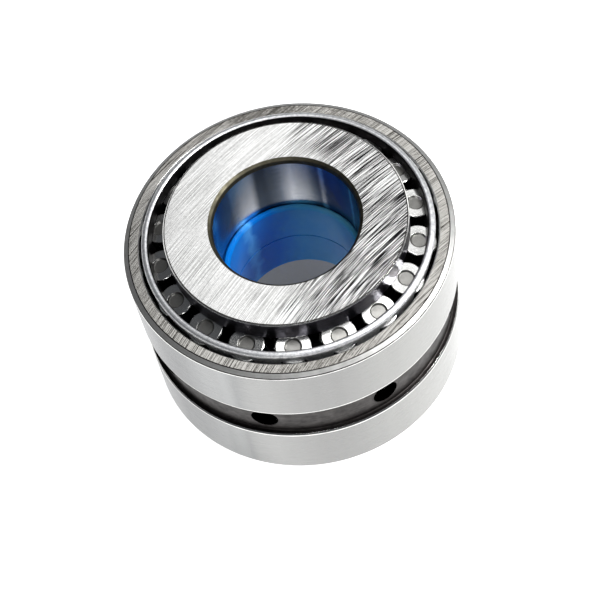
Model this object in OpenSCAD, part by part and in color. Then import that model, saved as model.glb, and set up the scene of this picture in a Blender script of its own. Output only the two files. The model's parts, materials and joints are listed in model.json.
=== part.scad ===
// Double-row tapered roller bearing: one double outer ring, two cones set back to back with a
// spacer ring between them, a pressed cage and a row of tapered rollers on each cone, and a
// plastic sleeve in the bore that holds the loose pieces together until a shaft goes in.
//
// The bearing stands on its lower cone. +Z is its axis, and the origin is its centre.
// The upper row is drawn, and the lower row is its mirror image.

/* [Bearing] */
// Outside diameter, which seats in the housing
outer_d = 80; // [74:0.5:100]
// Bore diameter, which seats on the shaft
bore_d = 35; // [29:0.5:42]
// Overall width across both cone faces
bearing_w = 56; // [53:0.5:72]
// Height of each cone face above the outer ring's face
cone_standout = 5.25; // [3:0.05:6.5]

/* [Outer ring] */
// Wall of the ring around the rollers' large ends, with the running gap
cup_wall = 4.32; // [3.6:0.01:6]
// Width of the oil groove around the outer ring
groove_w = 10.3; // [8:0.1:13]
// Depth of the oil groove
groove_depth = 1.4; // [0.8:0.1:2]
// Diameter of the oil holes in the groove
oil_hole_d = 6.2; // [4:0.1:8.4]
// Number of oil holes
oil_hole_count = 8; // [3:1:12]
// Angle of the first oil hole
oil_hole_phase = 22.5; // [0:0.5:45]
// Radial width of the corner between the ring's face and its outside
ring_corner_w = 1.5; // [0.8:0.1:2]
// Axial height of the same corner
ring_corner_h = 0.95; // [0.6:0.05:1.5]

/* [Cones] */
// Height of the large rib above the raceway
rib_h = 2.3; // [1.8:0.1:2.8]
// Height of the small rib above the raceway
small_rib_h = 0.9; // [0.5:0.1:1.3]
// Width of the small rib
small_rib_w = 1.9; // [1.4:0.1:3]
// Radial width of the bore's corner at the cone face
bore_corner_w = 1.05; // [0.6:0.05:1.5]
// Axial height of the same corner
bore_corner_h = 1.5; // [0.8:0.1:2]
// Step from the small ribs down to the outside of the spacer ring between the cones
spacer_step = 2; // [1:0.1:3]

/* [Rollers] */
// Number of rollers in each row
roller_count = 18; // [12:1:18]
// Diameter of a roller at its large end
roller_d = 8.7; // [7.2:0.1:10.4]
// Length of a roller
roller_l = 15.5; // [12:0.1:18.6]
// Depth of the large end's centre below the cone face
roller_depth = 6; // [5.6:0.1:7]
// Angle between a roller's axis and the bearing's axis
roller_angle = 10.5; // [8:0.1:12.6]
// Radius of the rounded edges of a roller
roller_edge_r = 0.4; // [0.2:0.05:0.6]
// Diameter of the dimple in the large end
dimple_d = 4.2; // [3:0.1:5]
// Depth of the dimple
dimple_depth = 0.4; // [0.2:0.05:0.8]
// Angle of the upper row's first roller
upper_phase = 2; // [0:0.5:20]
// Angle of the lower row's first roller
lower_phase = 12; // [0:0.5:20]

/* [Cages] */
// Thickness of the cage's sheet steel
cage_t = 1.8; // [1.2:0.1:2.2]
// Depth of the sheet's outer face below the outermost line of the rollers' large ends
cage_inset = 0.8; // [0.7:0.05:1.1]
// Height of the rim above the rollers' large ends
cage_rim_h = 2.95; // [1.5:0.05:3.5]
// Reach of the small end's flange inwards from the roller axes
cage_flange_h = 1.5; // [0.5:0.1:2]
// Radius of the rim's rounded edges
cage_edge_r = 0.6; // [0.2:0.05:0.6]

/* [Retaining sleeve] */
// Length of the sleeve
sleeve_l = 24; // [20:0.5:30]
// Wall thickness of the sleeve
sleeve_t = 1.75; // [1:0.05:2.5]
// Distance of the sleeve's middle below the bearing's middle
sleeve_drop = 2; // [0:0.5:4]
// Depth of the shallow seat turned in the cones' bores for the sleeve
sleeve_seat_depth = 0.25; // [0.2:0.05:0.4]
// Width of the parting groove around the sleeve's inside
sleeve_groove_w = 0.35; // [0.2:0.05:0.6]

/* [Clearances] */
// Running gap between a roller and each raceway
raceway_gap = 0.1; // [0.05:0.01:0.15]
// Running gap between a roller's ends and the ribs
rib_gap = 0.12; // [0.08:0.01:0.3]
// Gap around a roller in its cage pocket
pocket_gap = 0.18; // [0.1:0.01:0.3]
// Gap between the sleeve and its seat in the cones
sleeve_gap = 0.05; // [0.03:0.01:0.1]
// Gap between the sleeve's ends and the ends of its seat
sleeve_end_gap = 0.1; // [0.05:0.01:0.3]
// Gap between the spacer ring's inside and the shaft
spacer_gap = 0.5; // [0.4:0.05:0.8]

/* [Hidden] */
$fn = 96;
edge_break = 0.25;              // small chamfer on the turned edges
groove_edge = 0.35;             // chamfer on the oil groove's edges
groove_corner_r = 0.8;          // radius at the bottom of the oil groove
oil_hole_chamfer = 0.15;
ring_corner_split = [0.72, 0.42]; // where the corner bends, as shares of its width and height
bore_corner_split = [0.3, 0.6];   // the same for the bore's corner
middle_relief = 0.6;            // depth of the relief between the outer ring's raceways
raceway_overrun = 0.5;          // length of raceway past a roller's small end
undercut_w = 0.9;               // grinding undercut beside each rib
undercut_depth = 0.4;
inner_corner = 0.5;             // chamfers where the cones and the spacer meet
dimple_floor_d = dimple_d - 2 * dimple_depth;
sleeve_groove_depth = 0.3;
sleeve_chamfer = 0.5;
cut_over = 1;                   // how far a cutter reaches past what it cuts
arc_steps = 4;

outer_r = outer_d / 2;
bore_r = bore_d / 2;
top_z = bearing_w / 2;
ring_z = top_z - cone_standout;
roller_r = roller_d / 2;
pitch_r = outer_r - cup_wall - roller_r * cos(roller_angle);
roller_z = top_z - roller_depth;

// All the raceway cones of one row meet in a point, so a roller's own taper follows from its
// place and its diameter.
taper = atan(roller_r / pitch_r * sin(roller_angle));
cup_angle = roller_angle + taper;

roller_pitch = 360 / roller_count;
small_end = -roller_l;
cage_out = roller_r - cage_inset;
cage_in = cage_out - cage_t;
pocket_end = small_end - pocket_gap;
flange_end = pocket_end - edge_break;

// Radius of a roller at a distance s along its axis from its large end.
function roller_radius(s) = roller_r + s * tan(taper);
// Point [radius, z] of the upper row, s along a roller's axis and h outwards from it.
function at(s, h) = [
    pitch_r + s * sin(roller_angle) + h * cos(roller_angle),
    roller_z + s * cos(roller_angle) - h * sin(roller_angle)
];
// Distance of a raceway from the roller's axis.
function raceway_h(s) = roller_radius(s) + raceway_gap / cos(taper);
// Radius of the outer raceway at a height z.
function cup_radius(z) =
    let (p = at(0, raceway_h(0)))
    p[0] + (z - p[1]) * tan(cup_angle);
// Height above a roller's axis at which a line across it reaches a radius.
function h_at_radius(s, r) = (r - at(s, 0)[0]) / cos(roller_angle);
// Points of an arc, with its angles measured from the direction of the first axis.
function arc(centre, r, from, to) = [
    for (i = [0:arc_steps])
        let (a = from + (to - from) * i / arc_steps)
        centre + r * [cos(a), sin(a)]
];
function mirrored(points) = [for (i = [len(points) - 1:-1:0]) [points[i][0], -points[i][1]]];
function roller_name(row, i) = str(row, "_roller_", i < 10 ? "0" : "", i);

raceway_end = at(small_end - raceway_overrun, raceway_h(small_end - raceway_overrun));
inner_z = at(small_end - rib_gap, -raceway_h(small_end))[1] - small_rib_w;
middle_r = raceway_end[0] + middle_relief;
rib_r = at(0, -raceway_h(0))[0] + rib_h;
small_rib_r = at(small_end, -raceway_h(small_end))[0] + small_rib_h;

module lower_row() {
    mirror([0, 0, 1]) children();
}

module on_roller_axis(angle) {
    rotate([0, 0, angle])
        translate([pitch_r, 0, roller_z])
            rotate([0, roller_angle, 0])
                children();
}

// Half of the outer ring's section above its middle, from the outside inwards.
function ring_half() = concat(
    [[outer_r - groove_depth, 0]],
    arc([outer_r - groove_depth + groove_corner_r, groove_w / 2 - groove_corner_r],
        groove_corner_r, 180, 90),
    [[outer_r - groove_edge, groove_w / 2],
     [outer_r, groove_w / 2 + groove_edge],
     [outer_r, ring_z - ring_corner_h],
     [outer_r - ring_corner_w * (1 - ring_corner_split[0]),
      ring_z - ring_corner_h * ring_corner_split[1]],
     [outer_r - ring_corner_w, ring_z],
     [cup_radius(ring_z) + edge_break, ring_z],
     [cup_radius(ring_z - edge_break), ring_z - edge_break],
     raceway_end,
     [middle_r, raceway_end[1] - middle_relief],
     [middle_r, 0]]
);

module oil_hole() {
    floor_r = outer_r - groove_depth;
    rotate([0, 90, 0]) {
        translate([0, 0, middle_r - cut_over])
            cylinder(d = oil_hole_d, h = groove_depth + floor_r - middle_r + 2 * cut_over);
        translate([0, 0, floor_r - oil_hole_chamfer])
            cylinder(d1 = oil_hole_d, d2 = oil_hole_d + 4 * oil_hole_chamfer,
                     h = 2 * oil_hole_chamfer);
    }
}

module outer_ring() {
    color("#b9bab8")
        difference() {
            rotate_extrude()
                polygon(concat(ring_half(), mirrored(ring_half())));
            for (i = [0:oil_hole_count - 1])
                rotate([0, 0, oil_hole_phase + i * 360 / oil_hole_count])
                    oil_hole();
        }
}

// A cone: the large rib stands beside the rollers' large ends, the small rib at their other ends.
// The sleeve's seat reaches from the inner face to seat_z.
module cone_ring(seat_z) {
    rib_s = rib_gap;
    small_s = small_end - rib_gap;
    seat_r = bore_r + sleeve_seat_depth;
    color("#cfd0ce")
        rotate_extrude()
            polygon([
                [seat_r, inner_z + inner_corner],
                [seat_r, seat_z],
                [bore_r, seat_z + sleeve_seat_depth],
                [bore_r, top_z - bore_corner_h],
                [bore_r + bore_corner_w * bore_corner_split[0],
                 top_z - bore_corner_h * (1 - bore_corner_split[1])],
                [bore_r + bore_corner_w, top_z],
                [rib_r - edge_break, top_z],
                [rib_r, top_z - edge_break],
                at(rib_s, h_at_radius(rib_s, rib_r)),
                at(rib_s, -raceway_h(0) + undercut_depth / 2),
                at(rib_s - undercut_w / 2, -raceway_h(0) - undercut_depth),
                at(rib_s - undercut_w, -raceway_h(rib_s - undercut_w)),
                at(small_s + undercut_w, -raceway_h(small_s + undercut_w)),
                at(small_s + undercut_w / 2, -raceway_h(small_s) - undercut_depth),
                at(small_s, -raceway_h(small_s)),
                [small_rib_r - edge_break, at(small_s, -raceway_h(small_s))[1] - edge_break],
                [small_rib_r, at(small_s, -raceway_h(small_s))[1] - 2 * edge_break],
                [small_rib_r, inner_z + edge_break],
                [small_rib_r - edge_break, inner_z],
                [seat_r + inner_corner, inner_z]
            ]);
}

module upper_cone() {
    cone_ring(sleeve_l / 2 - sleeve_drop + sleeve_end_gap);
}

module lower_cone() {
    lower_row() cone_ring(sleeve_l / 2 + sleeve_drop + sleeve_end_gap);
}

module cone_spacer() {
    spacer_r = small_rib_r - spacer_step;
    spacer_bore_r = bore_r + spacer_gap;
    color("#8f9396")
        rotate_extrude()
            polygon([
                [spacer_bore_r, -inner_z + inner_corner],
                [spacer_bore_r, inner_z - inner_corner],
                [spacer_bore_r + inner_corner, inner_z],
                [spacer_r - inner_corner, inner_z],
                [spacer_r, inner_z - inner_corner],
                [spacer_r, -inner_z + inner_corner],
                [spacer_r - inner_corner, -inner_z],
                [spacer_bore_r + inner_corner, -inner_z]
            ]);
}

module retaining_sleeve() {
    out_r = bore_r + sleeve_seat_depth - sleeve_gap;
    in_r = out_r - sleeve_t;
    half_l = sleeve_l / 2;
    color("#0f63c9")
        translate([0, 0, -sleeve_drop])
            rotate_extrude()
                polygon([
                    [in_r + sleeve_chamfer, half_l],
                    [out_r - sleeve_chamfer, half_l],
                    [out_r, half_l - sleeve_chamfer],
                    [out_r, -half_l + sleeve_chamfer],
                    [out_r - sleeve_chamfer, -half_l],
                    [in_r + sleeve_chamfer, -half_l],
                    [in_r, -half_l + sleeve_chamfer],
                    [in_r, -sleeve_groove_w / 2],
                    [in_r + sleeve_groove_depth, -sleeve_groove_w / 2],
                    [in_r + sleeve_groove_depth, sleeve_groove_w / 2],
                    [in_r, sleeve_groove_w / 2],
                    [in_r, half_l - sleeve_chamfer]
                ]);
}

// The cage's section in the frame of a roller's axis, as [s, h]: a rim with rounded edges, the
// sheet along the pockets, and a flange turned inwards at the small end.
function cage_section() =
    let (rim = cage_rim_h - cage_edge_r)
    concat(
        arc([rim, cage_in + cage_edge_r], cage_edge_r, -90, 0),
        arc([rim, cage_out - cage_edge_r], cage_edge_r, 0, 90),
        arc([flange_end - cage_t + cage_edge_r, cage_out - cage_edge_r], cage_edge_r, 90, 180),
        [[flange_end - cage_t, -cage_flange_h],
         [flange_end, -cage_flange_h],
         [flange_end, cage_in]]
    );

// A roller with its gap, which cuts one pocket.
module pocket() {
    length = roller_l + 2 * pocket_gap;
    translate([0, 0, pocket_end])
        cylinder(r1 = roller_radius(pocket_end) + pocket_gap,
                 r2 = roller_radius(pocket_gap) + pocket_gap, h = length);
}

// The ring's seam lies in the middle of a bar, clear of the pockets.
module cage_ring(phase) {
    color("#bfc0be")
        difference() {
            rotate([0, 0, phase + roller_pitch / 2])
                rotate_extrude()
                    polygon([for (p = cage_section()) at(p[0], p[1])]);
            for (i = [0:roller_count - 1])
                on_roller_axis(phase + i * roller_pitch) pocket();
        }
}

module upper_cage() {
    cage_ring(upper_phase);
}

module lower_cage() {
    lower_row() cage_ring(lower_phase);
}

// A tapered roller on its own axis, with its large end at the origin and facing +Z.
module roller() {
    e = roller_edge_r;
    small_r = roller_radius(small_end);
    color("#d9dad8")
        rotate_extrude()
            polygon(concat(
                [[0, -dimple_depth],
                 [dimple_floor_d / 2, -dimple_depth],
                 [dimple_d / 2, 0]],
                arc([roller_r - e, -e], e, 90, 0),
                arc([small_r - e, small_end + e], e, 0, -90),
                [[0, small_end]]
            ));
}

module upper_roller(i) {
    on_roller_axis(upper_phase + (i - 1) * roller_pitch) roller();
}

module lower_roller(i) {
    lower_row()
        on_roller_axis(lower_phase + (i - 1) * roller_pitch) roller();
}

outer_ring();
upper_cone();
lower_cone();
cone_spacer();
retaining_sleeve();
upper_cage();
lower_cage();
for (i = [1:roller_count]) {
    upper_roller(i);
    lower_roller(i);
}
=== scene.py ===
"""The looks of a double-row tapered roller bearing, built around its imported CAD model.

Every piece is a surface of revolution, or a surface worked out on a grid around the bearing's axis.
Lengths are in millimetres until a mesh is made, and an outline is a list of [radius, height]
corners.
"""
import json
import math

import bpy
import numpy as np
from mathutils import Matrix, Vector


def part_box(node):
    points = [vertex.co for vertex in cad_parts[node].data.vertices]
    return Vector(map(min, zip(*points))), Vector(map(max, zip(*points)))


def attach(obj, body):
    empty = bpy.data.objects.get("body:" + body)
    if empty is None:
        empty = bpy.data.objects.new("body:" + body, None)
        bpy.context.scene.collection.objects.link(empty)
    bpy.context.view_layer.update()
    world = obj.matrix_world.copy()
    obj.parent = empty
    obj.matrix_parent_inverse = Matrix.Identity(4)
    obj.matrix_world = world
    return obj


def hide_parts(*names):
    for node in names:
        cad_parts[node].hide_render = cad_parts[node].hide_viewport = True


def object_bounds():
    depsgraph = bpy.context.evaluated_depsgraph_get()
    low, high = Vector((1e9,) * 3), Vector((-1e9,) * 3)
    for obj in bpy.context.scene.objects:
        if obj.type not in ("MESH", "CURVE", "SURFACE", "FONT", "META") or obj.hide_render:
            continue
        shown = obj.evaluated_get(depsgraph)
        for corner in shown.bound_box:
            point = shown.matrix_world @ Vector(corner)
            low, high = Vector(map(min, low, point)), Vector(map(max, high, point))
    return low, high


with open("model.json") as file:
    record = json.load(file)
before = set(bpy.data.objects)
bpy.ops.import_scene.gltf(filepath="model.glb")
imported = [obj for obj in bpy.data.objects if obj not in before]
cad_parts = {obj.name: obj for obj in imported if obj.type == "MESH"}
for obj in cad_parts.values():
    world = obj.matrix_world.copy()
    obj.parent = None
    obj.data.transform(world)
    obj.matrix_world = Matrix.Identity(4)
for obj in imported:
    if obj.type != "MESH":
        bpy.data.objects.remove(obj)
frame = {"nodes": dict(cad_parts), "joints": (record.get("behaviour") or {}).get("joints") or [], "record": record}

CAD_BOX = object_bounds()
MM = 1000.0
WELD = 1e-4          # points nearer than this are one point
RING_STEPS = 384     # a multiple of the eight oil holes
ROLLER_STEPS = 72
ARC_STEP = math.radians(9)
REFINEMENTS = 6      # of a pocket's edge, which settles to well under a micrometre

# Sizes read from the frame.
JOINTS = {j["name"]: j for j in frame["joints"]}
MOUNTS = {m["name"]: m for m in frame["record"]["mounts"]}


def corner(node):
    """The highest corner of a CAD node's box."""
    return np.array(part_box(node)[1]) * MM


def own_points(node, joint):
    """A CAD node's points as [distance from its joint's axis, height along it]."""
    co = np.empty(len(frame["nodes"][node].data.vertices) * 3)
    frame["nodes"][node].data.vertices.foreach_get("co", co)
    axis = np.array(joint["axis"], float)
    from_pos = (co.reshape(-1, 3) - np.array(joint["pos_m"])) * MM
    along = from_pos @ axis
    return np.stack([np.linalg.norm(from_pos - np.outer(along, axis), axis=1), along], axis=1)


OUTER_R = corner("outer_ring")[0]
RING_Z = corner("outer_ring")[2]
TOP_Z = corner("upper_cone")[2]
RIB_R = corner("upper_cone")[0]
SPACER_R, _, INNER_Z = corner("cone_spacer")
SLEEVE_R, _, SLEEVE_TOP = corner("retaining_sleeve")
SLEEVE_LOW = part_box("retaining_sleeve")[0][2] * MM
BORE_R = MOUNTS["upper_shaft_seat"]["dims"]["r_mm"]
SEAT_END = {s: abs(MOUNTS[s + "_shaft_seat"]["pos_m"][2]) * MM
            - MOUNTS[s + "_shaft_seat"]["dims"]["length_mm"] / 2 for s in ("upper", "lower")}
FIRST = JOINTS["upper_roller_01_spin"]
PITCH_R = math.hypot(FIRST["pos_m"][0], FIRST["pos_m"][1]) * MM
ROLLER_Z = FIRST["pos_m"][2] * MM
TILT = math.acos(FIRST["axis"][2])
ROLLERS = sum(name.startswith("upper_roller") for name in frame["nodes"])
ROLLER_POINTS = own_points("upper_roller_01", FIRST)
ROLLER_R = ROLLER_POINTS[:, 0].max()
ROLLER_L = -ROLLER_POINTS[:, 1].min()
TAPER = math.atan(ROLLER_R / PITCH_R * math.sin(TILT))

# Sizes of the details, as in the CAD.
GROOVE_W = 10.3
GROOVE_DEPTH = 1.4
HOLE_R = 3.1
HOLES = 8
HOLE_PHASE = math.radians(22.5)
MIDDLE_RELIEF = 0.6
RACEWAY_OVERRUN = 0.5
RACEWAY_GAP = 0.1
RIB_GAP = 0.12
SMALL_RIB_H = 0.9
UNDERCUT_W = 0.9
UNDERCUT_DEPTH = 0.4
BORE_CORNER = (1.05, 1.5)
POCKET_GAP = 0.18
CAGE_T = 1.8
CAGE_INSET = 0.8
CAGE_RIM_H = 2.95
CAGE_FLANGE_H = 1.5
CAGE_FLANGE_STEP = 0.25
SLEEVE_T = 1.75
SLEEVE_GROOVE = (0.35, 0.3)
SEAT_DEPTH = 0.25
SPACER_BORE_R = BORE_R + 0.5
DIMPLE = (2.1, 1.7, 0.4)   # rim radius, floor radius, depth

# The grinding of the faces, and where their painted reflection and shade lie.
LAY_CENTRE = (104, -132)    # centre of the wheel's arcs
LAY_SHARE = 0.01            # a scratch's width over its length
PAINTED_REFLECTION_BORDER = (-4.0, 26.0)   # where the painted reflection and shade begin, and where they are at their full
UNEVEN = 26.0               # how far that border wanders in all


# ---------------------------------------------------------------- shapes

def at(s, h):
    """The point [radius, height] that lies s along a roller's axis from its large end, and h
    outwards from the axis."""
    s, h = np.broadcast_arrays(np.asarray(s, float), np.asarray(h, float))
    return np.stack([PITCH_R + s * math.sin(TILT) + h * math.cos(TILT),
                     ROLLER_Z + s * math.cos(TILT) - h * math.sin(TILT)], axis=-1)


def roller_radius(s):
    """Radius of a roller's flank: it grows evenly towards the large end."""
    return ROLLER_R + s * math.tan(TAPER)


def raceway_h(s):
    """Distance of a raceway from a roller's axis."""
    return roller_radius(s) + RACEWAY_GAP / math.cos(TAPER)


def cup_radius(z):
    """Radius of the outer raceway at a height."""
    r, z0 = at(0, raceway_h(0))
    return r + (z - z0) * math.tan(TILT + TAPER)


def outline(corners, closed=True):
    """Rounds an outline. Each corner is (radius, height, fillet, finish of the side that follows).

    A fillet is the arc tangent to the corner's two sides, cut down where a side is short for it.
    Returns the points, their outward normals and the finish of each stretch between two points.
    """
    p = np.array([c[:2] for c in corners], float)
    n = len(p)
    points, normals, finish = [], [], []
    for i in range(n):
        before, after = p[i] - p[i - 1], p[(i + 1) % n] - p[i]
        end = not closed and i in (0, n - 1)
        if end:
            side = after if i == 0 else before
            side = side / np.linalg.norm(side)
            points.append(p[i])
            normals.append([side[1], -side[0]])
            finish.append(corners[i][3])
            continue
        la, lb = np.linalg.norm(before), np.linalg.norm(after)
        a, b = before / la, after / lb
        turn = math.atan2(a[0] * b[1] - a[1] * b[0], a @ b)
        reach = min(corners[i][2] * abs(math.tan(turn / 2)), 0.45 * la, 0.45 * lb)
        radius = reach / abs(math.tan(turn / 2))
        steps = max(2, math.ceil(abs(turn) / ARC_STEP))
        inward = np.array([-a[1], a[0]]) * math.copysign(1, turn)
        centre = p[i] - a * reach + inward * radius
        for k in range(steps + 1):
            angle = turn * k / steps
            c, s = math.cos(angle), math.sin(angle)
            along = np.array([c * a[0] - s * a[1], s * a[0] + c * a[1]])
            out = np.array([along[1], -along[0]])
            points.append(centre + out * radius * math.copysign(1, turn))
            normals.append(out)
            finish.append(corners[i - 1][3] if k < steps / 2 else corners[i][3])
    return np.array(points), np.array(normals), np.array(finish)


def grid_quads(rows, cols, wrap_rows=False, wrap_cols=False):
    """Corner indices of a grid's cells: along the columns first, then along the rows."""
    i, j = np.meshgrid(np.arange(rows - (not wrap_rows)), np.arange(cols - (not wrap_cols)),
                       indexing="ij")
    i1, j1 = (i + 1) % rows, (j + 1) % cols
    return np.stack([i * cols + j, i * cols + j1, i1 * cols + j1, i1 * cols + j], axis=-1)


def turned(profile, steps, closed=True):
    """Turns an outline round the axis: point (i, j) is outline point i at angle 2 pi j / steps."""
    points, normals, finish = profile
    angle = np.arange(steps) * 2 * math.pi / steps
    c, s = np.cos(angle), np.sin(angle)

    def spun(a):
        return np.stack([np.outer(a[:, 0], c), np.outer(a[:, 0], s),
                         np.repeat(a[:, 1:], steps, axis=1)], axis=-1).reshape(-1, 3)
    quads = grid_quads(len(points), steps, wrap_rows=closed, wrap_cols=True)
    kinds = np.repeat(finish[:quads.shape[0], None], steps, axis=1)
    return spun(points), spun(normals), quads.reshape(-1, 4), kinds.ravel()


def joined(*surfaces):
    """Several surfaces as one: points, normals, quads and finishes one after the other."""
    start = np.cumsum([0] + [len(s[0]) for s in surfaces[:-1]])
    return (np.concatenate([s[0] for s in surfaces]), np.concatenate([s[1] for s in surfaces]),
            np.concatenate([s[2] + k for s, k in zip(surfaces, start)]),
            np.concatenate([s[3] for s in surfaces]))


def flipped(surface):
    """The surface mirrored to the other row: heights change sign, and each face turns round."""
    points, normals, quads, kinds = surface
    down = np.array([1, 1, -1])
    return points * down, normals * down, quads[:, ::-1], kinds


def piece(name, surface, finishes, body, own=None, place=None):
    """Makes the object for a CAD node from a surface, and hangs it on its body.

    Equal points are welded, so poles and seams close. own holds each point in the piece's own
    frame, for the finishes, and place moves the surface to where the CAD has it.
    """
    points, normals, quads, kinds = surface
    own = points if own is None else own
    key = np.round(points / WELD).astype(np.int64)
    _, first, index = np.unique(key, axis=0, return_index=True, return_inverse=True)
    points, normals, own = points[first], normals[first], own[first]
    quads = index.reshape(-1)[quads]
    if place is not None:
        turn = np.array(place.to_3x3())
        points = points @ turn.T + np.array(place.translation)
        normals = normals @ turn.T
    same = quads == np.roll(quads, -1, axis=1)
    keep = same.sum(axis=1) < 2
    faces = [list(dict.fromkeys(q)) for q in quads[keep].tolist()]
    mesh = bpy.data.meshes.new(name)
    mesh.from_pydata((points / MM).tolist(), [], faces)
    names = list(dict.fromkeys(kinds[keep].tolist()))
    for n in names:
        mesh.materials.append(finishes[n])
    order = {n: k for k, n in enumerate(names)}
    mesh.polygons.foreach_set("material_index", [order[k] for k in kinds[keep].tolist()])
    mesh.polygons.foreach_set("use_smooth", [True] * len(faces))
    held = mesh.attributes.new("own", "FLOAT_VECTOR", "POINT")
    held.data.foreach_set("vector", own.astype(np.float32).ravel())
    mesh.update()
    normals = normals / np.maximum(np.linalg.norm(normals, axis=1, keepdims=True), 1e-9)
    mesh.normals_split_custom_set_from_vertices(normals.tolist())
    obj = bpy.data.objects.new(name + "_finished", mesh)
    bpy.context.scene.collection.objects.link(obj)
    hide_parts(name)
    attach(obj, body)
    return obj


# ---------------------------------------------------------------- outer ring

def ring_strip():
    """The upper half of the ring's outline, from the groove's floor round to the inner relief."""
    floor_r = OUTER_R - GROOVE_DEPTH
    half = GROOVE_W / 2
    end = at(-ROLLER_L - RACEWAY_OVERRUN, raceway_h(-ROLLER_L - RACEWAY_OVERRUN))
    middle_r = end[0] + MIDDLE_RELIEF
    return outline([
        (floor_r, half - 0.8, 0, "scale"),
        (floor_r, half, 0.8, "scale"),
        (OUTER_R - 0.35, half, 0.06, "edge"),
        (OUTER_R - 0.03, half + 0.35, 0.06, "edge"),
        (OUTER_R, half + 0.7, 0.1, "outside"),
        (OUTER_R, RING_Z - 0.95, 0.1, "edge"),
        (OUTER_R - 0.1, RING_Z - 0.74, 0.1, "scale"),
        (OUTER_R - 0.24, RING_Z - 0.54, 0.15, "corner"),
        (OUTER_R - 1.24, RING_Z - 0.08, 0.08, "scale"),
        (OUTER_R - 1.5, RING_Z, 0.06, "ring_face"),
        (cup_radius(RING_Z) + 0.25, RING_Z, 0.06, "edge"),
        (cup_radius(RING_Z - 0.25), RING_Z - 0.25, 0.06, "raceway"),
        (end[0], end[1], 0.1, "scale"),
        (middle_r, end[1] - MIDDLE_RELIEF, 0.2, "scale"),
        (middle_r, end[1] - MIDDLE_RELIEF - 0.5, 0, "scale"),
    ], closed=False)


def hole_sector(floor_r, floor_z, middle_r, middle_z):
    """One eighth of the ring's middle, with an oil hole through it.

    Each rim point of the hole, at angle u round the hole, is joined to a point on the border of
    the groove's floor by a straight line in (angle, height). The hole's wall and its chamfer are
    an outline carried round the same angles, and the inner relief is laid out like the floor.
    """
    half = math.pi / HOLES
    cols, rows = RING_STEPS // HOLES, 12
    side = np.linspace(-1, 1, rows + 1)
    top = np.linspace(-1, 1, cols + 1)
    border = np.concatenate([
        np.stack([np.ones(rows), side[:-1]], axis=1),
        np.stack([top[:0:-1], np.ones(cols)], axis=1),
        np.stack([-np.ones(rows), side[:0:-1]], axis=1),
        np.stack([top[:-1], -np.ones(cols)], axis=1)])
    u = np.arctan2(border[:, 1] * floor_z, border[:, 0] * half * floor_r)

    def plate(radius, height, rim, steps, inside):
        """The band between the rim and the border, on a cylinder."""
        v = (np.linspace(0, 1, steps + 1) ** 1.6)[:, None]
        rim_angle = np.arcsin(rim * np.cos(u) / radius)
        angle = rim_angle * (1 - v) + border[:, 0] * half * v
        z = rim * np.sin(u) * (1 - v) + border[:, 1] * height * v
        out = np.stack([np.cos(angle), np.sin(angle), 0 * z], axis=-1)
        points = out * radius
        points[..., 2] = z
        quads = grid_quads(steps + 1, len(u), wrap_cols=True).reshape(-1, 4)
        if not inside:
            return points.reshape(-1, 3), out.reshape(-1, 3), quads[:, ::-1], quads[:, 0] * 0
        return points.reshape(-1, 3), -out.reshape(-1, 3), quads, quads[:, 0] * 0

    rim = HOLE_R + 0.3
    wall, wall_n, wall_kind = outline([
        (rim, 0, 0, "scale"), (HOLE_R + 0.15, 0, 0.05, "edge"), (HOLE_R, -0.15, 0.05, "hole"),
        (HOLE_R, middle_r - floor_r, 0, "hole")], closed=False)
    rho, depth = wall[:, :1], wall[:, 1:]
    on_floor = np.sqrt(floor_r ** 2 - (rho * np.cos(u)) ** 2)
    x = on_floor + depth
    x[-1] = np.sqrt(middle_r ** 2 - (HOLE_R * np.cos(u)) ** 2)
    points = np.stack([x, rho * np.cos(u), rho * np.sin(u)], axis=-1)
    floor_n = np.stack([on_floor, rho * np.cos(u), 0 * on_floor], axis=-1) / floor_r
    radial = np.broadcast_to(np.stack([0 * u, np.cos(u), np.sin(u)], axis=-1), points.shape)
    # The outline runs from the floor into the hole, so its own normals are turned round.
    normals = -wall_n[:, :1, None] * radial - wall_n[:, 1:, None] * floor_n
    quads = grid_quads(len(wall), len(u), wrap_cols=True)
    kinds = np.repeat(wall_kind[:quads.shape[0], None], len(u), axis=1)
    outer = plate(floor_r, floor_z, rim, 8, False)
    inner = plate(middle_r, middle_z, HOLE_R, 8, True)
    outer = outer[:3] + (np.full(len(outer[2]), "scale"),)
    inner = inner[:3] + (np.full(len(inner[2]), "scale"),)
    tube = (points.reshape(-1, 3), normals.reshape(-1, 3), quads.reshape(-1, 4), kinds.ravel())
    return joined(outer, tube, inner)


def spun_copies(surface, count, phase):
    """count copies of a surface round the axis."""
    copies = []
    for k in range(count):
        a = phase + 2 * math.pi * k / count
        turn = np.array([[math.cos(a), -math.sin(a), 0], [math.sin(a), math.cos(a), 0], [0, 0, 1]])
        copies.append((surface[0] @ turn.T, surface[1] @ turn.T, surface[2], surface[3]))
    return joined(*copies)


def outer_ring():
    """The ring: its upper half turned round the axis, that half mirrored, and between them the
    middle band, made of one sector for each oil hole."""
    strip = ring_strip()
    upper = turned(strip, RING_STEPS, closed=False)
    (floor_r, floor_z), (middle_r, middle_z) = strip[0][0], strip[0][-1]
    sectors = spun_copies(hole_sector(floor_r, floor_z, middle_r, middle_z), HOLES, HOLE_PHASE)
    return joined(upper, flipped(upper), sectors)


# ---------------------------------------------------------------- cones, spacer and sleeve

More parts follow.
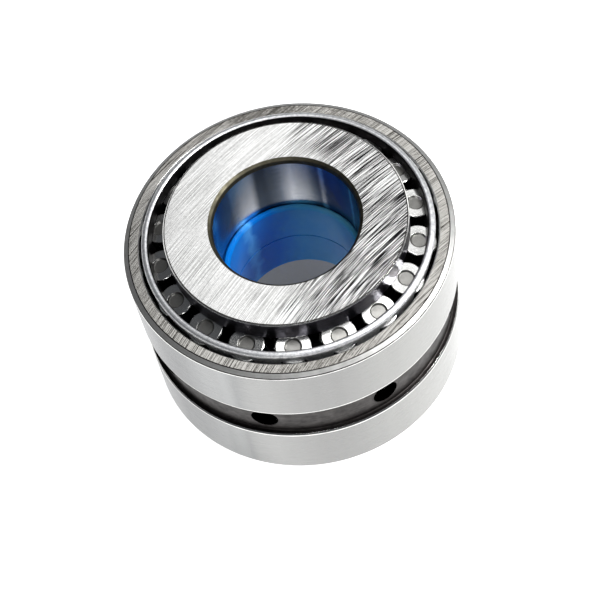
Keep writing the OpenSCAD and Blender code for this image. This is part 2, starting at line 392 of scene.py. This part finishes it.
def cone(row):
    """A cone's closed outline, turned round the axis."""
    small = -ROLLER_L - RIB_GAP
    seat_r, seat_z = BORE_R + SEAT_DEPTH, SEAT_END[row] - SEAT_DEPTH
    race_end = at(RIB_GAP, -raceway_h(0) + UNDERCUT_DEPTH / 2)
    small_race = at(small, -raceway_h(small))
    rib_h = (RIB_R - at(RIB_GAP, 0)[0]) / math.cos(TILT)
    rib_foot = at(RIB_GAP, rib_h)
    small_rib_r = at(-ROLLER_L, -raceway_h(-ROLLER_L))[0] + SMALL_RIB_H
    w, h = BORE_CORNER
    first = at(RIB_GAP - UNDERCUT_W / 2, -raceway_h(0) - UNDERCUT_DEPTH)
    second = at(RIB_GAP - UNDERCUT_W, -raceway_h(RIB_GAP - UNDERCUT_W))
    third = at(small + UNDERCUT_W, -raceway_h(small + UNDERCUT_W))
    fourth = at(small + UNDERCUT_W / 2, -raceway_h(small) - UNDERCUT_DEPTH)
    corners = [
        (seat_r + 0.5, INNER_Z, 0.1, "ring_face"),
        (small_rib_r - 0.25, INNER_Z, 0.08, "rib"),
        (small_rib_r, INNER_Z + 0.25, 0.08, "rib"),
        (small_rib_r, small_race[1] - 0.5, 0.1, "rib"),
        (small_rib_r - 0.25, small_race[1] - 0.25, 0.1, "rib"),
        (*small_race, 0.05, "scale"),
        (*fourth, 0.2, "scale"),
        (*third, 0.05, "raceway"),
        (*second, 0.05, "scale"),
        (*first, 0.2, "scale"),
        (*race_end, 0.05, "raceway"),
        (*rib_foot, 0.25, "rib"),
        (RIB_R, TOP_Z - 0.3, 0.1, "edge"),
        (RIB_R - 0.22, TOP_Z - 0.05, 0.04, "scale"),
        (RIB_R - 0.48, TOP_Z, 0.04, "cone_face"),
        (BORE_R + w, TOP_Z, 0.08, "bore_corner"),
        (BORE_R + w * 0.3, TOP_Z - h * 0.4, 0.7, "bore_corner"),
        (BORE_R, TOP_Z - h, 0.12, row + "_bore"),
        (BORE_R, seat_z + SEAT_DEPTH, 0.05, row + "_bore"),
        (seat_r, seat_z, 0.05, row + "_bore"),
        (seat_r, INNER_Z + 0.5, 0.08, "edge"),
    ]
    surface = turned(outline(corners), RING_STEPS)
    return surface if row == "upper" else flipped(surface)


def spacer():
    """A flat ring between the cones, turned from a rectangle with broken edges."""
    r, b, z, e = SPACER_R, SPACER_BORE_R, INNER_Z, 0.5
    return turned(outline([
        (b + e, -z, 0.08, "spacer"), (r - e, -z, 0.08, "spacer"), (r, -z + e, 0.08, "spacer"),
        (r, z - e, 0.08, "spacer"), (r - e, z, 0.08, "spacer"), (b + e, z, 0.08, "spacer"),
        (b, z - e, 0.08, "spacer"), (b, -z + e, 0.08, "spacer")]), RING_STEPS // 2)


def sleeve():
    """A plastic tube with rounded lips and a parting groove round the middle of its inside."""
    out, inner = SLEEVE_R, SLEEVE_R - SLEEVE_T
    top, low = SLEEVE_TOP, SLEEVE_LOW
    middle = (top + low) / 2
    w, d = SLEEVE_GROOVE
    return turned(outline([
        (out - 0.5, low, 0.2, "sleeve"), (out, low + 0.5, 0.2, "sleeve"),
        (out, top - 0.5, 0.2, "sleeve"), (out - 0.5, top, 0.25, "sleeve"),
        (inner + 0.45, top, 0.35, "sleeve"), (inner, top - 0.6, 0.5, "sleeve"),
        (inner, middle + w / 2, 0.1, "sleeve"), (inner + d, middle + w / 2, 0.05, "sleeve"),
        (inner + d, middle - w / 2, 0.05, "sleeve"), (inner, middle - w / 2, 0.1, "sleeve"),
        (inner, low + 0.6, 0.5, "sleeve"), (inner + 0.45, low, 0.35, "sleeve")]), RING_STEPS)


# ---------------------------------------------------------------- rollers

def roller():
    """A roller on its own axis, its large end at the origin: both ends close in a pole."""
    rim, floor, depth = DIMPLE
    small = roller_radius(-ROLLER_L)
    return turned(outline([
        (0, -ROLLER_L, 0, "roller_end"),
        (small, -ROLLER_L, 0.4, "flank"),
        (ROLLER_R, 0, 0.4, "roller_end"),
        (rim, 0, 0.1, "dimple"),
        (floor, -depth, 0.12, "dimple"),
        (0, -depth, 0, "dimple")], closed=False), ROLLER_STEPS, closed=False)


def roller_place(joint):
    """The matrix that carries a roller drawn on +Z to its joint, in millimetres."""
    axis = Vector(joint["axis"])
    up = axis if joint["pos_m"][2] > 0 else -axis
    turn = up.to_track_quat("Z", "Y").to_matrix().to_4x4()
    return Matrix.Translation(Vector(joint["pos_m"]) * MM) @ turn


# ---------------------------------------------------------------- cages

def pocket_half_angle(s, h):
    """Azimuth at which a pocket's wall, a cone round a roller's axis, meets the sheet at (s, h).

    The wall's distance from the roller's axis is the roller's radius and the pocket's gap. The
    sheet bends away from the roller as the azimuth grows, so the answer is refined in turns.
    """
    r, z = at(s, h)[..., 0], at(s, h)[..., 1]
    angle = np.zeros_like(r)
    for _ in range(REFINEMENTS):
        x = r * np.cos(angle) - PITCH_R
        along = x * math.sin(TILT) + (z - ROLLER_Z) * math.cos(TILT)
        above = x * math.cos(TILT) - (z - ROLLER_Z) * math.sin(TILT)
        wide = (roller_radius(along) + POCKET_GAP) ** 2 - above ** 2
        angle = np.arcsin(np.sqrt(wide) / r)
    return angle


def cage(phase):
    """A cage as a grid round the axis, with the pockets' cells left out and their walls added.

    Columns run round one pitch: half a pocket, a bar, half a pocket. Their angles follow the
    pocket's edge at each (s, h), so the bars narrow as the rollers do.
    """
    out_h = ROLLER_R - CAGE_INSET
    in_h = out_h - CAGE_T
    low, high = -ROLLER_L - POCKET_GAP, POCKET_GAP
    flange = low - CAGE_FLANGE_STEP
    pitch = 2 * math.pi / ROLLERS
    share = np.concatenate([np.linspace(0, 1, 7)[:-1], np.linspace(1, 2, 13)[:-1],
                            np.linspace(2, 3, 7)])

    def columns(s, h):
        """Angles of the column lines at each (s, h). Between two of the lines 0, pocket's edge,
        next pocket's edge and pitch, they are evenly spaced."""
        edge = pocket_half_angle(np.clip(s, low, high), np.clip(h, in_h, out_h))[..., None]
        knots = np.concatenate([0 * edge, edge, pitch - edge, 0 * edge + pitch], axis=-1)
        k = np.minimum(share.astype(int), 2)
        return knots[..., k] + (knots[..., k + 1] - knots[..., k]) * (share - k)

    def placed(s, h, angle):
        r, z = at(s, h)[..., 0][..., None], at(s, h)[..., 1][..., None]
        return np.stack([r * np.cos(angle), r * np.sin(angle), z + 0 * angle], axis=-1)

    def band(s, h, normal, cols, kind="cage"):
        """A strip through the points (s, h), over some of the columns, in one finish or several."""
        angle = columns(s, h)[..., cols]
        points = placed(s, h, angle)
        n = normal[..., None, :]
        nrm = np.stack([n[..., 0] * np.cos(angle), n[..., 0] * np.sin(angle),
                        n[..., 1] + 0 * angle], axis=-1)
        quads = grid_quads(points.shape[0], points.shape[1]).reshape(-1, 4)
        kinds = np.broadcast_to(kind, (points.shape[0],))[:-1].repeat(points.shape[1] - 1)
        return points.reshape(-1, 3), nrm.reshape(-1, 3), quads, kinds

    everywhere, bar = slice(None), slice(6, 19)
    outward = np.array([math.cos(TILT), -math.sin(TILT)])
    upward = np.array([math.sin(TILT), math.cos(TILT)])

    def strip(corners):
        """A rounded outline given in (s, h). Its points are in (s, h), and its normals in
        (radius, height)."""
        points, normals, kinds = outline([(*at(s, h), f, k) for s, h, f, k in corners],
                                         closed=False)
        d = points - at(0, 0)
        return d @ upward, d @ outward, normals, kinds

    # The sheet's inner sides, towards the rollers, are painted dark: painted shade.
    rim = strip([(high, out_h, 0, "cage"), (CAGE_RIM_H, out_h, 0.8, "cage"),
                 (CAGE_RIM_H, in_h, 0.8, "cage_inside"), (high, in_h, 0, "cage_inside")])
    foot = strip([(low, in_h, 0, "cage_inside"), (flange, in_h, 0.1, "cage_inside"),
                  (flange, -CAGE_FLANGE_H, 0.3, "cage"),
                  (flange - CAGE_T, -CAGE_FLANGE_H, 0.3, "cage"),
                  (flange - CAGE_T, out_h, 0.8, "cage"), (low, out_h, 0, "cage")])
    parts = [band(s, h, n, everywhere, kinds) for s, h, n, kinds in (rim, foot)]
    s = np.linspace(low, high, 41)
    parts.append(band(s, 0 * s + out_h, np.broadcast_to(outward, (len(s), 2)), bar))
    parts.append(band(s[::-1], 0 * s + in_h, np.broadcast_to(-outward, (len(s), 2)), bar,
                      "cage_inside"))
    h = np.linspace(out_h, in_h, 9)
    # The pocket's end walls: at the rim it faces down along the roller, at the flange up.
    for level, normal, way in ((high, -upward, -1), (low, upward, 1)):
        for cols in (slice(0, 7), slice(18, 25)):
            wall = band(0 * h + level, h, np.broadcast_to(normal, (len(h), 2)), cols)
            parts.append(wall if way < 0 else (wall[0], wall[1], wall[2][:, ::-1], wall[3]))
    # The pocket's side walls, as a grid over (s, h) at the pocket's edge and at the next one.
    ss, hh = np.meshgrid(s, h, indexing="ij")
    edge = pocket_half_angle(ss, hh)
    rz = at(ss, hh)
    for angle, way in ((edge, 1), (pitch - edge, -1)):
        points = np.stack([rz[..., 0] * np.cos(angle), rz[..., 0] * np.sin(angle), rz[..., 1]],
                          axis=-1)
        axis_at = 0.0 if way > 0 else pitch
        spot = np.array([math.cos(axis_at), math.sin(axis_at), 0])
        line = spot * math.sin(TILT) + np.array([0, 0, math.cos(TILT)])
        base = spot * PITCH_R + np.array([0, 0, ROLLER_Z])
        offset = points - base
        normal = (offset @ line)[..., None] * line - offset
        quads = grid_quads(len(s), len(h)).reshape(-1, 4)
        quads = quads[:, ::-1] if way < 0 else quads
        normal /= np.linalg.norm(normal, axis=-1, keepdims=True)
        parts.append((points.reshape(-1, 3), normal.reshape(-1, 3), quads,
                      np.full(len(quads), "pocket")))
    return spun_copies(joined(*parts), ROLLERS, phase)


# ---------------------------------------------------------------- finishes
#
# Patterns are laid out in millimetres, so a noise's scale is its lumps per millimetre. Grinding and
# turning marks are really 0.01 to 0.05 mm wide, which is too fine to show at this size, so they
# are drawn 0.1 to 0.3 mm wide.

def linear(hex_colour):
    """An sRGB hex colour as linear red, green, blue and alpha."""
    v = np.array([int(hex_colour[i:i + 2], 16) for i in (1, 3, 5)]) / 255
    return (*np.where(v <= 0.04045, v / 12.92, ((v + 0.055) / 1.055) ** 2.4), 1.0)


def add(tree, kind, inputs=(), stops=(), **settings):
    """Adds a shader node of a kind, with its settings and, for a colour ramp, its stops.

    inputs holds a value, a socket or a node for each input, in order or by name or index. A node
    stands for its first output. Each stop is (position, hex colour).
    """
    node = tree.nodes.new("ShaderNode" + kind)
    for key, value in settings.items():
        setattr(node, key, value)
    for key, value in inputs.items() if isinstance(inputs, dict) else enumerate(inputs):
        if isinstance(value, bpy.types.Node):
            value = value.outputs[0]
        if isinstance(value, bpy.types.NodeSocket):
            tree.links.new(value, node.inputs[key])
        else:
            node.inputs[key].default_value = value
    if stops:
        elements = node.color_ramp.elements
        while len(elements) < len(stops):
            elements.new(0.5)
        for element, (position, shade) in zip(elements, stops):
            element.position = position
            element.color = linear(shade)
    return node


def finish(name):
    """A new material, its tree and its Principled shader."""
    made = bpy.data.materials.new(name)
    made.use_nodes = True
    return made, made.node_tree, made.node_tree.nodes["Principled BSDF"]


def metal(name, roughness):
    """A bare metal, with the shader's own IOR."""
    made, tree, shader = finish(name)
    shader.inputs["Metallic"].default_value = 1.0
    shader.inputs["Roughness"].default_value = roughness
    return made, tree, shader


def dress(tree, shader, shade, roughness, height, depth_mm):
    """Gives a finish its colour, its roughness, and relief of a depth in millimetres."""
    relief = add(tree, "Bump", {"Height": height, "Distance": depth_mm / MM, "Strength": 1.0})
    for name, node in (("Base Color", shade), ("Roughness", roughness), ("Normal", relief)):
        tree.links.new(node.outputs[0], shader.inputs[name])


def own_frame(tree):
    """The place in the piece's own frame, in millimetres: the whole vector, then x, y and z. Its
    z runs along the piece's own axis."""
    own = add(tree, "Attribute", attribute_name="own").outputs["Vector"]
    return (own, *add(tree, "SeparateXYZ", (own,)).outputs)


def distance_2d(tree, x, y):
    """The length of (x, y)."""
    flat = add(tree, "CombineXYZ", (x, y, 0.0))
    return add(tree, "VectorMath", (flat,), operation="LENGTH").outputs["Value"]


def marks_round(tree, crossing, angle, share, scale, detail, rough=0.5):
    """Marks that run round the axis: noise over a length that crosses them and a share of the
    angle, so that each mark is drawn out along its circle."""
    along = add(tree, "Math", (angle, share), operation="MULTIPLY")
    where = add(tree, "CombineXYZ", (crossing, along, 0.0))
    return add(tree, "TexNoise", {"Vector": where, "Scale": scale, "Detail": detail,
                                  "Roughness": rough})


def along_lay(tree, x, y):
    """Coordinates that follow grinding arcs about a far centre: the distance from it in
    millimetres, and the way along the arc, shortened so that a streak comes out long."""
    from_x = add(tree, "Math", (x, LAY_CENTRE[0]), operation="SUBTRACT")
    from_y = add(tree, "Math", (y, LAY_CENTRE[1]), operation="SUBTRACT")
    turn = add(tree, "Math", (from_y, from_x), operation="ARCTAN2")
    along = add(tree, "Math", (turn, math.hypot(*LAY_CENTRE) * LAY_SHARE), operation="MULTIPLY")
    return distance_2d(tree, from_x, from_y), along


def ground_face(name, tones, contrast, shift, mottle, both_sides=False):
    """Surface-ground steel. A wheel's grit leaves long, nearly straight scratches, some coarse and
    dark, and they spread a reflection across the lay.

    Towards +X and -Y, or towards both ends of X, the scratches' contrast and the level are painted
    stronger and shifted: painted reflection and shade on that side. tones are the colours of deep
    scratches, of the face and of its polished lands; the darkest and lightest of them also paint
    the streaks' reflections. contrast and shift are each given for the plain side and the painted
    side, and mottle is the strength of handling stain.
    """
    made, tree, shader = metal(name, 0.22)
    own, x, y, _ = own_frame(tree)
    across, along = along_lay(tree, x, y)
    coarse, fine = (add(tree, "TexNoise", {
        "Vector": add(tree, "CombineXYZ", (across, along, layer)), "Scale": scale,
        "Detail": 1.0, "Roughness": 0.6}) for layer, scale in ((0.0, 6.4), (7.0, 11.0)))
    streak = add(tree, "Mix", {0: 0.4, 2: coarse, 3: fine})
    stain = add(tree, "TexNoise", {"Vector": own, "Scale": 1.4, "Detail": 3.0, "Roughness": 0.65})
    # The painted reflection and shade begin unevenly: a slow noise moves their border by up to half of UNEVEN.
    patch = add(tree, "TexNoise", {"Vector": own, "Scale": 0.1, "Detail": 1.0})
    side = add(tree, "Math", (x,), operation="ABSOLUTE") if both_sides else x
    side = add(tree, "Math", (y, -0.28, side), operation="MULTIPLY_ADD")
    side = add(tree, "Math", (patch, UNEVEN, side), operation="MULTIPLY_ADD")
    border = [end + UNEVEN / 2 for end in PAINTED_REFLECTION_BORDER]
    # Painted reflection and shade: past the border the scratches' contrast grows and the level shifts.
    strength = add(tree, "MapRange", (side, *border, *contrast))
    middle = 0.5 - mottle / 2
    level = add(tree, "MapRange", (side, *border, shift[0] + middle, shift[1] + middle))
    depth = add(tree, "Math", (streak, 0.5), operation="SUBTRACT")
    tone = add(tree, "Math", (depth, strength, level), operation="MULTIPLY_ADD")
    tone = add(tree, "Math", (stain, mottle, tone), operation="MULTIPLY_ADD")
    dress(tree, shader,
          add(tree, "ValToRGB", (tone,), stops=tuple(zip((0.05, 0.5, 0.8), tones))),
          add(tree, "MapRange", (tone, 0.2, 0.7, 0.34, 0.16)), streak, 0.01)
    return made


def ground_round(name, tones, roughness, stretch):
    """Cylindrically ground steel: fine circumferential scratches draw each reflection out along
    the axis, so the light stands in soft upright bands.

    tones are colour stops round the axis. They hold light and dark bands and glints, which are
    painted on the piece and turn with it, besides the reflections that the lights give.
    """
    made, tree, shader = metal(name, roughness)
    shader.inputs["Anisotropic"].default_value = stretch
    shader.inputs["Anisotropic Rotation"].default_value = 0.25
    lay = add(tree, "Tangent", direction_type="RADIAL", axis="Z")
    tree.links.new(lay.outputs[0], shader.inputs["Tangent"])
    own, x, y, height = own_frame(tree)
    angle = add(tree, "Math", (y, x), operation="ARCTAN2")
    lines = marks_round(tree, height, angle, 0.6, 7.0, 3.0, 0.6)
    tall = add(tree, "VectorMath", (own, (1.0, 1.0, 0.06)), operation="MULTIPLY")
    bands = add(tree, "TexNoise", {"Vector": tall, "Scale": 0.14, "Detail": 2.0})
    tone = add(tree, "Mix", {0: 0.65, 2: lines, 3: bands})
    # The share of a turn, from 0 to 1, moved to and fro a little by the noise.
    turn = add(tree, "Math", (angle, 0.5 / math.pi, 0.45), operation="MULTIPLY_ADD")
    place = add(tree, "Math", (tone, 0.1, turn), operation="MULTIPLY_ADD")
    dress(tree, shader, add(tree, "ValToRGB", (place,), stops=tones),
          add(tree, "MapRange", (lines, 0.3, 0.7, roughness + 0.05, roughness - 0.04)),
          lines, 0.002)
    return made


def honed_raceway():
    """Honed raceway: close to a mirror, with the faint lines of the stone."""
    made, tree, shader = metal("honed_bearing_steel", 0.1)
    _, x, y, height = own_frame(tree)
    angle = add(tree, "Math", (y, x), operation="ARCTAN2")
    lines = marks_round(tree, height, angle, 0.5, 9.0, 2.0)
    dress(tree, shader,
          add(tree, "ValToRGB", (lines,), stops=((0.3, "#c3c4c4"), (0.7, "#dadad8"))),
          add(tree, "MapRange", (lines, 0.3, 0.7, 0.16, 0.08)), lines, 0.001)
    return made


def fed_marks(tree, x, y, height, share, scale, detail, rough):
    """The marks of a lathe tool, which is fed outwards over a face and along a wall: they are
    crossed by the radius plus the height."""
    feed = add(tree, "Math", (distance_2d(tree, x, y), height), operation="ADD")
    angle = add(tree, "Math", (y, x), operation="ARCTAN2")
    return marks_round(tree, feed, angle, share, scale, detail, rough)


def heat_scale(name, dark, light, roughness):
    """Turned and hardened steel left as it is: a thin brown-black oxide over fine turning lines."""
    made, tree, shader = metal(name, roughness)
    own, x, y, height = own_frame(tree)
    turns = fed_marks(tree, x, y, height, 0.8, 5.0, 3.0, 0.6)
    cloud = add(tree, "TexNoise", {"Vector": own, "Scale": 0.5, "Detail": 4.0, "Roughness": 0.6})
    tone = add(tree, "Mix", {0: 0.55, 2: turns, 3: cloud})
    dress(tree, shader, add(tree, "ValToRGB", (tone,), stops=((0.35, dark), (0.65, light))),
          add(tree, "MapRange", (tone, 0.3, 0.7, roughness + 0.12, roughness - 0.06)),
          tone, 0.008)
    return made


def turned_steel(name, dark, light, roughness, depth=0.004):
    """Turned steel: even circumferential tool marks."""
    made, tree, shader = metal(name, roughness)
    own, x, y, height = own_frame(tree)
    turns = fed_marks(tree, x, y, height, 0.5, 8.0, 2.0, 0.5)
    cloud = add(tree, "TexNoise", {"Vector": own, "Scale": 0.4, "Detail": 3.0, "Roughness": 0.5})
    tone = add(tree, "Mix", {0: 0.5, 2: turns, 3: cloud})
    dress(tree, shader, add(tree, "ValToRGB", (tone,), stops=((0.35, dark), (0.65, light))),
          add(tree, "MapRange", (tone, 0.3, 0.7, roughness + 0.08, roughness - 0.05)),
          turns, depth)
    return made


def tumbled_sheet():
    """Pressed low-carbon sheet, tumbled after pressing: bright, faintly blue, softly dimpled."""
    made, tree, shader = metal("tumbled_sheet_steel", 0.28)
    own = own_frame(tree)[0]
    dents = add(tree, "TexNoise", {"Vector": own, "Scale": 1.1, "Detail": 3.0, "Roughness": 0.55})
    grain = add(tree, "TexNoise", {"Vector": own, "Scale": 6.0, "Detail": 2.0, "Roughness": 0.6})
    tone = add(tree, "Mix", {0: 0.35, 2: dents, 3: grain})
    dress(tree, shader,
          add(tree, "ValToRGB", (tone,),
              stops=((0.36, "#c6c7ca"), (0.5, "#e3e4e6"), (0.62, "#fafafa"))),
          add(tree, "MapRange", (tone, 0.3, 0.7, 0.5, 0.4)), tone, 0.012)
    return made


def moulded_plastic():
    """Injection-moulded polyethylene: saturated, softly glossy, with a slow waviness from the
    mould. One side is clean, and the other is painted paler: a painted reflection of the bright
    surroundings. The light strip near one end of the ramp is a highlight painted on the piece, and
    turns with it."""
    made, tree, shader = finish("moulded_polyethylene")
    shader.inputs["IOR"].default_value = 1.51
    shader.inputs["Roughness"].default_value = 0.2
    shader.inputs["Specular IOR Level"].default_value = 0.08
    shader.inputs["Subsurface Weight"].default_value = 0.06
    shader.inputs["Subsurface Radius"].default_value = (0.0006, 0.0012, 0.003)
    own, x, y, _ = own_frame(tree)
    wave = add(tree, "TexNoise", {"Vector": own, "Scale": 0.22, "Detail": 2.0})
    speck = add(tree, "TexNoise", {"Vector": own, "Scale": 3.5, "Detail": 3.0, "Roughness": 0.6})
    angle = add(tree, "Math", (y, x), operation="ARCTAN2")
    # The share of a turn, from 0 to 1, moved to and fro a little by the noise.
    turn = add(tree, "Math", (angle, 0.5 / math.pi, 0.47), operation="MULTIPLY_ADD")
    place = add(tree, "Math", (wave, 0.06, turn), operation="MULTIPLY_ADD")
    # Round the axis: a paler painted reflection on one side, and a painted highlight strip at 0.85.
    shade = add(tree, "ValToRGB", (place,), stops=(
        (0.0, "#0070cf"), (0.2, "#0a82d4"), (0.45, "#46b0d6"), (0.62, "#66b6dc"),
        (0.71, "#459dd0"), (0.79, "#0a74d2"), (0.83, "#0a70cf"), (0.85, "#52aaf4"),
        (0.875, "#0f78d4"), (1.0, "#0070cf")))
    dress(tree, shader, shade, add(tree, "MapRange", (speck, 0.3, 0.7, 0.26, 0.16)), wave, 0.05)
    return made


def finishes():
    """Every finish of the bearing, by the name that the outlines use."""
    honed = honed_raceway()
    return {
        "cone_face": ground_face("surface_ground_steel", ("#1a1a1c", "#c6c6c4", "#fbfbfa"),
                                 (1.2, 14.0), (0.13, -0.46), 0.25),
        "ring_face": ground_face("ground_ring_face", ("#33312c", "#827f7a", "#c4c2bd"),
                                 (2.6, 7.0), (-0.12, 0.3), 0.9, both_sides=True),
        "outside": ground_round("ground_outside_steel", (
            (0.0, "#909192"), (0.08, "#7a7b7c"), (0.14, "#999a9a"), (0.165, "#858686"),
            (0.19, "#959594"), (0.26, "#868685"), (0.34, "#949492"), (0.45, "#929290"),
            (0.6, "#8c8d8d"), (0.75, "#9a9a99"), (0.88, "#848586"), (1.0, "#909192")), 0.26, 0.5),
        "raceway": honed,
        "flank": honed,
        "scale": heat_scale("hardened_turned_steel", "#232120", "#494645", 0.4),
        "bore_corner": heat_scale("olive_hardened_steel", "#403d33", "#6d6959", 0.5),
        # The oil holes' walls are nearly black: oxide and painted shade in the holes.
        "hole": heat_scale("drilled_hardened_steel", "#0d0c0b", "#1d1b19", 0.5),
        "corner": turned_steel("turned_corner_steel", "#a3a3a1", "#cbcbc9", 0.5),
        "edge": turned_steel("broken_edge_steel", "#c4c4c2", "#efefec", 0.22),
        "rib": turned_steel("turned_rib_steel", "#47454e", "#6a6872", 0.3),
        "upper_bore": ground_round("ground_bore_steel", (
            (0.0, "#59616c"), (0.3, "#7d8590"), (0.5, "#4f5a6b"), (0.541, "#465a7e"),
            (0.547, "#f0f2f4"), (0.556, "#465a7e"), (0.62, "#4a5d80"), (0.636, "#465a7e"),
            (0.642, "#f0f2f4"), (0.65, "#4d5c74"), (0.672, "#8d959f"), (0.71, "#f8f9fa"),
            (0.745, "#8d959f"), (0.77, "#4c545f"), (0.798, "#5c646f"), (0.822, "#fbfbfb"),
            (0.85, "#fbfbfb"), (0.876, "#8c95a2"), (0.93, "#6a7890"), (1.0, "#59616c")),
            0.2, 0.6),
        "lower_bore": ground_round("ground_lower_bore", (
            (0.0, "#77797c"), (0.5, "#83858a"), (1.0, "#77797c")), 0.24, 0.6),
        "roller_end": turned_steel("ground_roller_end", "#c9c9c6", "#ececea", 0.18, 0.0015),
        "dimple": turned_steel("turned_dimple_steel", "#848380", "#a6a5a1", 0.34, 0.006),
        "cage": tumbled_sheet(),
        # The same pressed sheet as the cage, painted dark on its inner sides: painted shade.
        "cage_inside": heat_scale("pressed_sheet_inside", "#1d1c1d", "#3c3a3b", 0.45),
        "pocket": turned_steel("punched_pocket_steel", "#6c6e71", "#94969a", 0.35),
        "spacer": turned_steel("turned_spacer_steel", "#7c7f83", "#a3a6aa", 0.34),
        "sleeve": moulded_plastic(),
    }


# ---------------------------------------------------------------- stage

def camera():
    """The camera stands above the front, and is rolled a little."""
    rise, roll = math.radians(57.28), math.radians(12.21)
    target = Vector((-0.00054, -0.0035, -0.0023))
    back = Vector((0, -math.cos(rise), math.sin(rise)))
    level, steep = Vector((1, 0, 0)), Vector((0, math.sin(rise), math.cos(rise)))
    right = level * math.cos(roll) - steep * math.sin(roll)
    up = level * math.sin(roll) + steep * math.cos(roll)
    data = bpy.data.cameras.new("camera")
    data.lens = 93.68
    data.sensor_width = 36
    data.clip_start = 0.01
    obj = bpy.data.objects.new("camera", data)
    turn = Matrix((right, up, back)).transposed().to_4x4()
    obj.matrix_world = Matrix.Translation(target + back * 0.3919) @ turn
    bpy.context.scene.collection.objects.link(obj)
    bpy.context.scene.camera = obj


def softbox(name, place, size, power):
    """A white rectangular softbox at place, facing the bearing."""
    data = bpy.data.lights.new(name, "AREA")
    data.shape = "RECTANGLE"
    data.size, data.size_y = size
    data.energy = power
    obj = bpy.data.objects.new(name, data)
    place = Vector(place)
    turn = place.to_track_quat("Z", "Y").to_matrix().to_4x4()
    obj.matrix_world = Matrix.Translation(place) @ turn
    bpy.context.scene.collection.objects.link(obj)


def floor():
    """A pale sheet under the bearing, lit through from below, as on a light table. Under the
    bearing its glow is turned down: painted shade."""
    z = CAD_BOX[0][2]
    w = 3.0   # half its width, in metres
    mesh = bpy.data.meshes.new("floor")
    mesh.from_pydata([(-w, -w, z), (w, -w, z), (w, w, z), (-w, w, z)], [], [(0, 1, 2, 3)])
    made, tree, shader = finish("pale_sheet")
    shader.inputs["Base Color"].default_value = linear("#e6e6e6")
    shader.inputs["Roughness"].default_value = 0.9
    shader.inputs["Emission Color"].default_value = linear("#ffffff")
    where = add(tree, "TexCoord").outputs["Object"]
    away = add(tree, "VectorMath", (where,), operation="LENGTH").outputs["Value"]
    # Painted shade: the glow drops under the bearing.
    glow_with_painted_shade = add(tree, "MapRange", (away, 0.9 * OUTER_R / MM, 1.1 * OUTER_R / MM, 0.5, 0.97))
    tree.links.new(glow_with_painted_shade.outputs[0], shader.inputs["Emission Strength"])
    mesh.materials.append(made)
    obj = bpy.data.objects.new("floor", mesh)
    bpy.context.scene.collection.objects.link(obj)


def studio():
    """A dim room with a large soft overhead light behind the bearing, and smaller ones above,
    beside and in front of it."""
    world = bpy.data.worlds.new("studio")
    bpy.context.scene.world = world
    world.use_nodes = True
    background = world.node_tree.nodes["Background"]
    background.inputs["Color"].default_value = linear("#c8ccd4")
    background.inputs["Strength"].default_value = 0.12
    softbox("overhead", (0.17, 0.56, 0.86), (0.62, 0.5), 1.2)
    softbox("top", (0.16, 0.1, 1.0), (0.42, 0.42), 2.4)
    softbox("side", (0.62, -0.12, 0.62), (0.25, 0.25), 8)
    softbox("front", (-0.1, -0.7, 0.75), (0.25, 0.2), 1.2)


# ---------------------------------------------------------------- the bearing

camera()
FINISHES = finishes()
piece("outer_ring", outer_ring(), FINISHES, "outer_ring")
for row in ("upper", "lower"):
    piece(row + "_cone", cone(row), FINISHES, "inner_set")
piece("cone_spacer", spacer(), FINISHES, "inner_set")
piece("retaining_sleeve", sleeve(), FINISHES, "inner_set")
ROLLER = roller()
for row in ("upper", "lower"):
    x, y, _ = JOINTS[row + "_roller_01_spin"]["pos_m"]
    made_cage = cage(math.atan2(y, x))
    piece(row + "_cage", made_cage if row == "upper" else flipped(made_cage), FINISHES,
          row + "_cage")
    for k in range(ROLLERS):
        name = f"{row}_roller_{k + 1:02d}"
        piece(name, ROLLER, FINISHES, name,
              place=roller_place(JOINTS[name + "_spin"]))
floor()
studio()
bpy.context.scene.view_settings.view_transform = "Standard"
